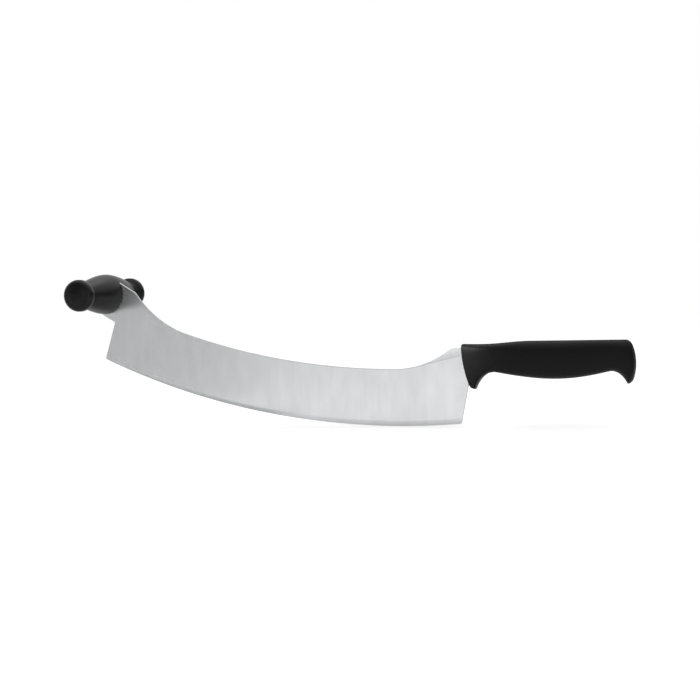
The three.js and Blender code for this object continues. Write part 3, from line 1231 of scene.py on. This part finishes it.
        # The profile's radius becomes the curve's, and the curve moves onto the axis
        position = add_node(tree, "GeometryNodeInputPosition").outputs[0]
        parts = add_node(tree, "ShaderNodeSeparateXYZ", {0: position}).outputs
        thick = add_node(tree, "GeometryNodeSetCurveRadius", {"Curve": profile, "Radius": parts["X"]})
        axis = add_node(tree, "GeometryNodeSetPosition", {
            "Geometry": thick.outputs[0],
            "Position": add_node(tree, "ShaderNodeCombineXYZ", {"Y": parts["Y"]}).outputs[0],
        })
        ring = add_node(tree, "GeometryNodeCurvePrimitiveCircle", {
            "Resolution": size["Steps around"],
            "Radius": 1.0,
        })
        half = add_node(tree, "GeometryNodeCurveToMesh", {
            "Curve": axis.outputs[0],
            "Profile Curve": ring.outputs[0],
            "Scale": add_node(tree, "GeometryNodeInputRadius").outputs[0],
        })
        mirrored = add_node(tree, "GeometryNodeTransform", {
            "Geometry": half.outputs[0],
            "Scale": MIRROR,
        })
        outwards = add_node(tree, "GeometryNodeFlipFaces", {"Mesh": mirrored.outputs[0]})
        whole = add_node(tree, "GeometryNodeJoinGeometry")
        for each in (outwards, half):
            tree.links.new(each.outputs[0], whole.inputs[0])
        closed = add_node(tree, "GeometryNodeMergeByDistance", {
            "Geometry": whole.outputs[0],
            "Distance": size["Seam"],
        })
        return closed.outputs[0]

    def tree(self, inputs: dict[str, SocketValue]) -> GeometryNodeTree:
        """Build the nodes that make, place and dress the grip.

        Args:
            inputs: The value of each input.

        Returns:
            The node tree.
        """
        tree = bpy.data.node_groups.new("turned_grip", "GeometryNodeTree")
        tree.interface.new_socket("Grip", in_out="OUTPUT", socket_type="NodeSocketGeometry")
        size = self.sizes(tree, inputs)
        closed = self.turned(tree, size, self.profile(tree, size))
        smooth = add_node(tree, "GeometryNodeSetShadeSmooth", {"Geometry": closed})
        placed = add_node(tree, "GeometryNodeTransform", {
            "Geometry": smooth.outputs[0],
            "Translation": size["Middle"],
        })
        real = add_node(tree, "GeometryNodeRealizeInstances", {"Geometry": placed.outputs[0]})
        dressed = add_node(tree, "GeometryNodeSetMaterial", {
            "Geometry": real.outputs[0],
            "Material": size["Finish"],
        })
        add_node(tree, "NodeGroupOutput", {0: dressed.outputs[0]})
        return tree

    def build(self, place: Matrix, axis: Vector) -> Object:
        """Make and dress the grip.

        Args:
            place: Matrix from the knife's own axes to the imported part's.
            axis: The grip's axis in the side view.

        Returns:
            The finished piece.
        """
        piece = add_object("cross_grip_moulding", bpy.data.meshes.new("cross_grip_moulding"))
        inputs = self.inputs(place @ Vector((axis.x, 0, axis.y)))
        tree = self.tree(inputs)
        turned = piece.modifiers.new("turned_grip", "NODES")
        turned.node_group = tree
        for item in tree.interface.items_tree:
            if item.name in inputs:
                turned[item.identifier] = inputs[item.name]
        bake(piece)
        return piece


def one_face(name: str, corners: list[Spot]) -> Mesh:
    """Make a mesh of one flat face.

    Args:
        name: Name of the mesh.
        corners: The corners in order, in metres.

    Returns:
        The mesh.
    """
    mesh = bpy.data.meshes.new(name)
    mesh.from_pydata(corners, [], [range(len(corners))])
    return mesh


@dataclass(frozen=True)
class SoftBox:
    """Soft lamp of the studio. Sizes and places are in metres.

    A radiance of 1 is white on a lamp without a grid, and the spread is the angle that a grid lets out.
    """

    name: str
    spot: Spot
    aim: Spot
    size: tuple[float, float]
    radiance: float
    spread: float = math.pi

    def hang(self) -> None:
        """Hang the lamp, facing its aim and unseen by the camera."""
        width, height = self.size
        made = bpy.data.lights.new(self.name, "AREA")
        made.shape = "RECTANGLE"
        made.size = width
        made.size_y = height
        made.energy = self.radiance * math.pi * width * height
        made.spread = self.spread
        holder = bpy.data.objects.new(self.name, made)
        holder.location = self.spot
        way = Vector(self.aim) - Vector(self.spot)
        holder.rotation_euler = way.to_track_quat("-Z", "Y").to_euler()
        holder.visible_camera = False
        bpy.context.scene.collection.objects.link(holder)


@dataclass(frozen=True)
class Card:
    """Matte paper card that shows in reflections only, given by opposite corners in metres."""

    name: str
    start: Spot
    end: Spot
    colour: str
    lay: Lay = Lay.UPRIGHT

    def corners(self) -> list[Spot]:
        """Work out the card's corners.

        Returns:
            The four corners in order.
        """
        left, front, low = self.start
        right, back, high = self.end
        if self.lay is Lay.FLAT:
            return [(left, front, low), (right, front, low), (right, back, low), (left, back, low)]
        return [(left, front, low), (right, back, low), (right, back, high), (left, front, high)]

    def put_up(self) -> None:
        """Make the card and dress it."""
        mesh = one_face(self.name, self.corners())
        paper = bpy.data.materials.new(self.name)
        tree = empty_tree(paper)
        matte = add_node(tree, "ShaderNodeBsdfDiffuse", {"Color": linear(self.colour)})
        add_node(tree, "ShaderNodeOutputMaterial", {"Surface": matte.outputs[0]})
        mesh.materials.append(paper)
        piece = add_object(self.name, mesh)
        piece.visible_camera = False
        piece.visible_diffuse = False
        piece.visible_shadow = False


SOFT_BOXES = (
    SoftBox(
        "overhead", spot=(0.0, -0.25, 1.2), aim=(0.0, -0.25, 0.0), size=(1.4, 0.9), radiance=0.7
    ),
    SoftBox(
        "high_at_the_back", spot=(-0.1, 0.5, 1.0), aim=(-0.2, 0.0, 0.1), size=(0.5, 0.5), radiance=1.5
    ),
    SoftBox(
        "small_at_the_left",
        spot=(-0.02, -0.12, 0.15),
        aim=(0.092, -0.004, 0.067),
        size=(0.04, 0.04),
        radiance=2.5,
        spread=0.3,
    ),
)

# Height of a flat card above the floor
LIFT = 0.001

# The cards are the greys that the steel and the plastic mirror, as the walls of a room are
CARDS = (
    Card("grey_card_behind_the_camera", (-1.8, -1.5, 0.4), (1.8, -1.5, 2.4), "a0a0a0"),
    Card("pale_card_at_the_left", (-1.0, -0.32, 0.0), (-0.205, -0.32, 0.3), "e2e2e2"),
    Card(
        "pale_card_before_the_left_one", (-1.0, -0.32, LIFT), (-0.19, -0.11, LIFT), "e6e6e6", Lay.FLAT
    ),
    Card("dark_card_above_the_left_one", (-0.62, -0.31, 0.125), (-0.29, -0.31, 0.45), "606060"),
    Card("dark_card_at_the_back", (-0.03, 0.45, 0.0), (0.6, 0.45, 0.32), "585858"),
    Card("dark_card_at_the_right", (0.7, 0.45, 0.0), (0.7, -0.5, 0.45), "505050"),
    Card("pale_card_under_the_tip", (-0.36, -0.1, LIFT), (-0.07, 0.1, LIFT), "ebebeb", Lay.FLAT),
    Card("grey_card_behind_the_grip", (-0.36, 0.1, LIFT), (0.15, 0.8, LIFT), "d8d8d8", Lay.FLAT),
)


@dataclass
class Studio:
    """White floor and background, soft lamps, cards to mirror, and the camera of the picture.

    Sizes are in metres, apart from the camera's sensor. A glow, backdrop or fill of 1 is white.
    """

    target: Vector
    azimuth: float = math.radians(16.6)
    elevation: float = math.radians(3.4)
    roll: float = math.radians(1.66)
    distance: float = 1.1336
    half_width: float = 0.3052
    sensor: float = 36.0
    floor_size: float = 6.0
    floor_colour: str = "f1f1f1"
    glow: float = 0.25
    backdrop_colour: str = "ffffff"
    backdrop: float = 1.0
    fill: float = 0.85

    def camera(self) -> None:
        """Set up the camera, with its roll."""
        made = bpy.data.cameras.new("camera")
        made.sensor_width = self.sensor
        made.lens = self.sensor / 2 * self.distance / self.half_width
        back = Vector((
            math.sin(self.azimuth) * math.cos(self.elevation),
            -math.cos(self.azimuth) * math.cos(self.elevation),
            math.sin(self.elevation),
        ))
        level = Vector((math.cos(self.azimuth), math.sin(self.azimuth), 0.0))
        up = back.cross(level)
        right = level * math.cos(self.roll) - up * math.sin(self.roll)
        above = level * math.sin(self.roll) + up * math.cos(self.roll)
        turn = Matrix((right, above, back)).transposed().to_4x4()
        holder = bpy.data.objects.new("camera", made)
        holder.matrix_world = Matrix.Translation(self.target + back * self.distance) @ turn
        bpy.context.scene.collection.objects.link(holder)
        bpy.context.scene.camera = holder

    def seen_directly(self, tree: NodeTree) -> NodeSocket:
        """Tell the rays that show the background from those that only light the knife.

        Args:
            tree: Tree of the floor or the world.

        Returns:
            1 for camera, glossy and transmission rays.
        """
        path = add_node(tree, "ShaderNodeLightPath").outputs
        shown = path["Is Camera Ray"]
        for kind in ("Is Glossy Ray", "Is Transmission Ray"):
            both = {0: shown, 1: path[kind]}
            shown = add_node(tree, "ShaderNodeMath", both, operation="MAXIMUM").outputs[0]
        return shown

    def world(self) -> None:
        """Make the world white where it is seen, and a softer fill where it only lights."""
        made = bpy.data.worlds.new("white_studio")
        tree = empty_tree(made)
        colour = linear(self.backdrop_colour)
        fill, shown = (
            add_node(tree, "ShaderNodeBackground", {"Color": colour, "Strength": strength}).outputs[0]
            for strength in (self.fill, self.backdrop)
        )
        mixed = add_node(tree, "ShaderNodeMixShader", {0: self.seen_directly(tree), 1: fill, 2: shown})
        add_node(tree, "ShaderNodeOutputWorld", {"Surface": mixed.outputs[0]})
        bpy.context.scene.world = made

    def floor(self) -> None:
        """Lay the white floor, which keeps the knife's shadow."""
        half = self.floor_size / 2
        corners = [(-half, -half, 0.0), (half, -half, 0.0), (half, half, 0.0), (-half, half, 0.0)]
        mesh = one_face("floor", corners)
        paper = bpy.data.materials.new("white_paper")
        tree = empty_tree(paper)
        matte = add_node(tree, "ShaderNodeBsdfDiffuse", {"Color": linear(self.floor_colour)})
        glow = add_node(tree, "ShaderNodeEmission", {
            "Color": (self.glow, self.glow, self.glow, 1.0),
            "Strength": self.seen_directly(tree),
        })
        both = add_node(tree, "ShaderNodeAddShader", {0: matte.outputs[0], 1: glow.outputs[0]})
        add_node(tree, "ShaderNodeOutputMaterial", {"Surface": both.outputs[0]})
        mesh.materials.append(paper)
        add_object("floor", mesh)

    def build(self) -> None:
        """Set up the whole studio."""
        bpy.context.scene.view_settings.view_transform = "Standard"
        self.camera()
        self.world()
        self.floor()
        for lamp in SOFT_BOXES:
            lamp.hang()
        for card in CARDS:
            card.put_up()


def join_frame(piece: Object, node: Node) -> None:
    """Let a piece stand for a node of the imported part.

    Args:
        piece: Finished piece.
        node: Node that it stands for.
    """
    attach(piece, "root")
    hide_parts(node.value)
    LOG.info("%s stands for %s with %d faces", piece.name, node.value, len(piece.data.polygons))


def main() -> None:
    """Build the knife and its studio."""
    logging.basicConfig(level=logging.INFO, format="%(name)s: %(message)s")
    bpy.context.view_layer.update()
    handle = MainHandle(MouldedPlastic(
        name="moulded_polypropylene_handle",
        colour="101011",
        roughness=0.5,
        specular=0.11,
        grain=0.45,
        grain_depth=0.02,
    ))
    blade = Blade(BrushedSteel(), handle.length)
    grip = CrossGrip(MouldedPlastic(
        name="moulded_polypropylene_grip",
        colour="0e0e0f",
        roughness=0.36,
        specular=0.22,
        grain=0.6,
        grain_depth=0.01,
    ))
    place = Matrix.Translation(handle.front()) @ Matrix.Scale(MM, 4)
    join_frame(handle.build(place), Node.MAIN_HANDLE)
    join_frame(blade.build(place), Node.BLADE)
    join_frame(grip.build(place, blade.grip_axis), Node.CROSS_GRIP)
    Studio(target=place @ PICTURE_CENTER).build()


if __name__ == "__main__":
    main()
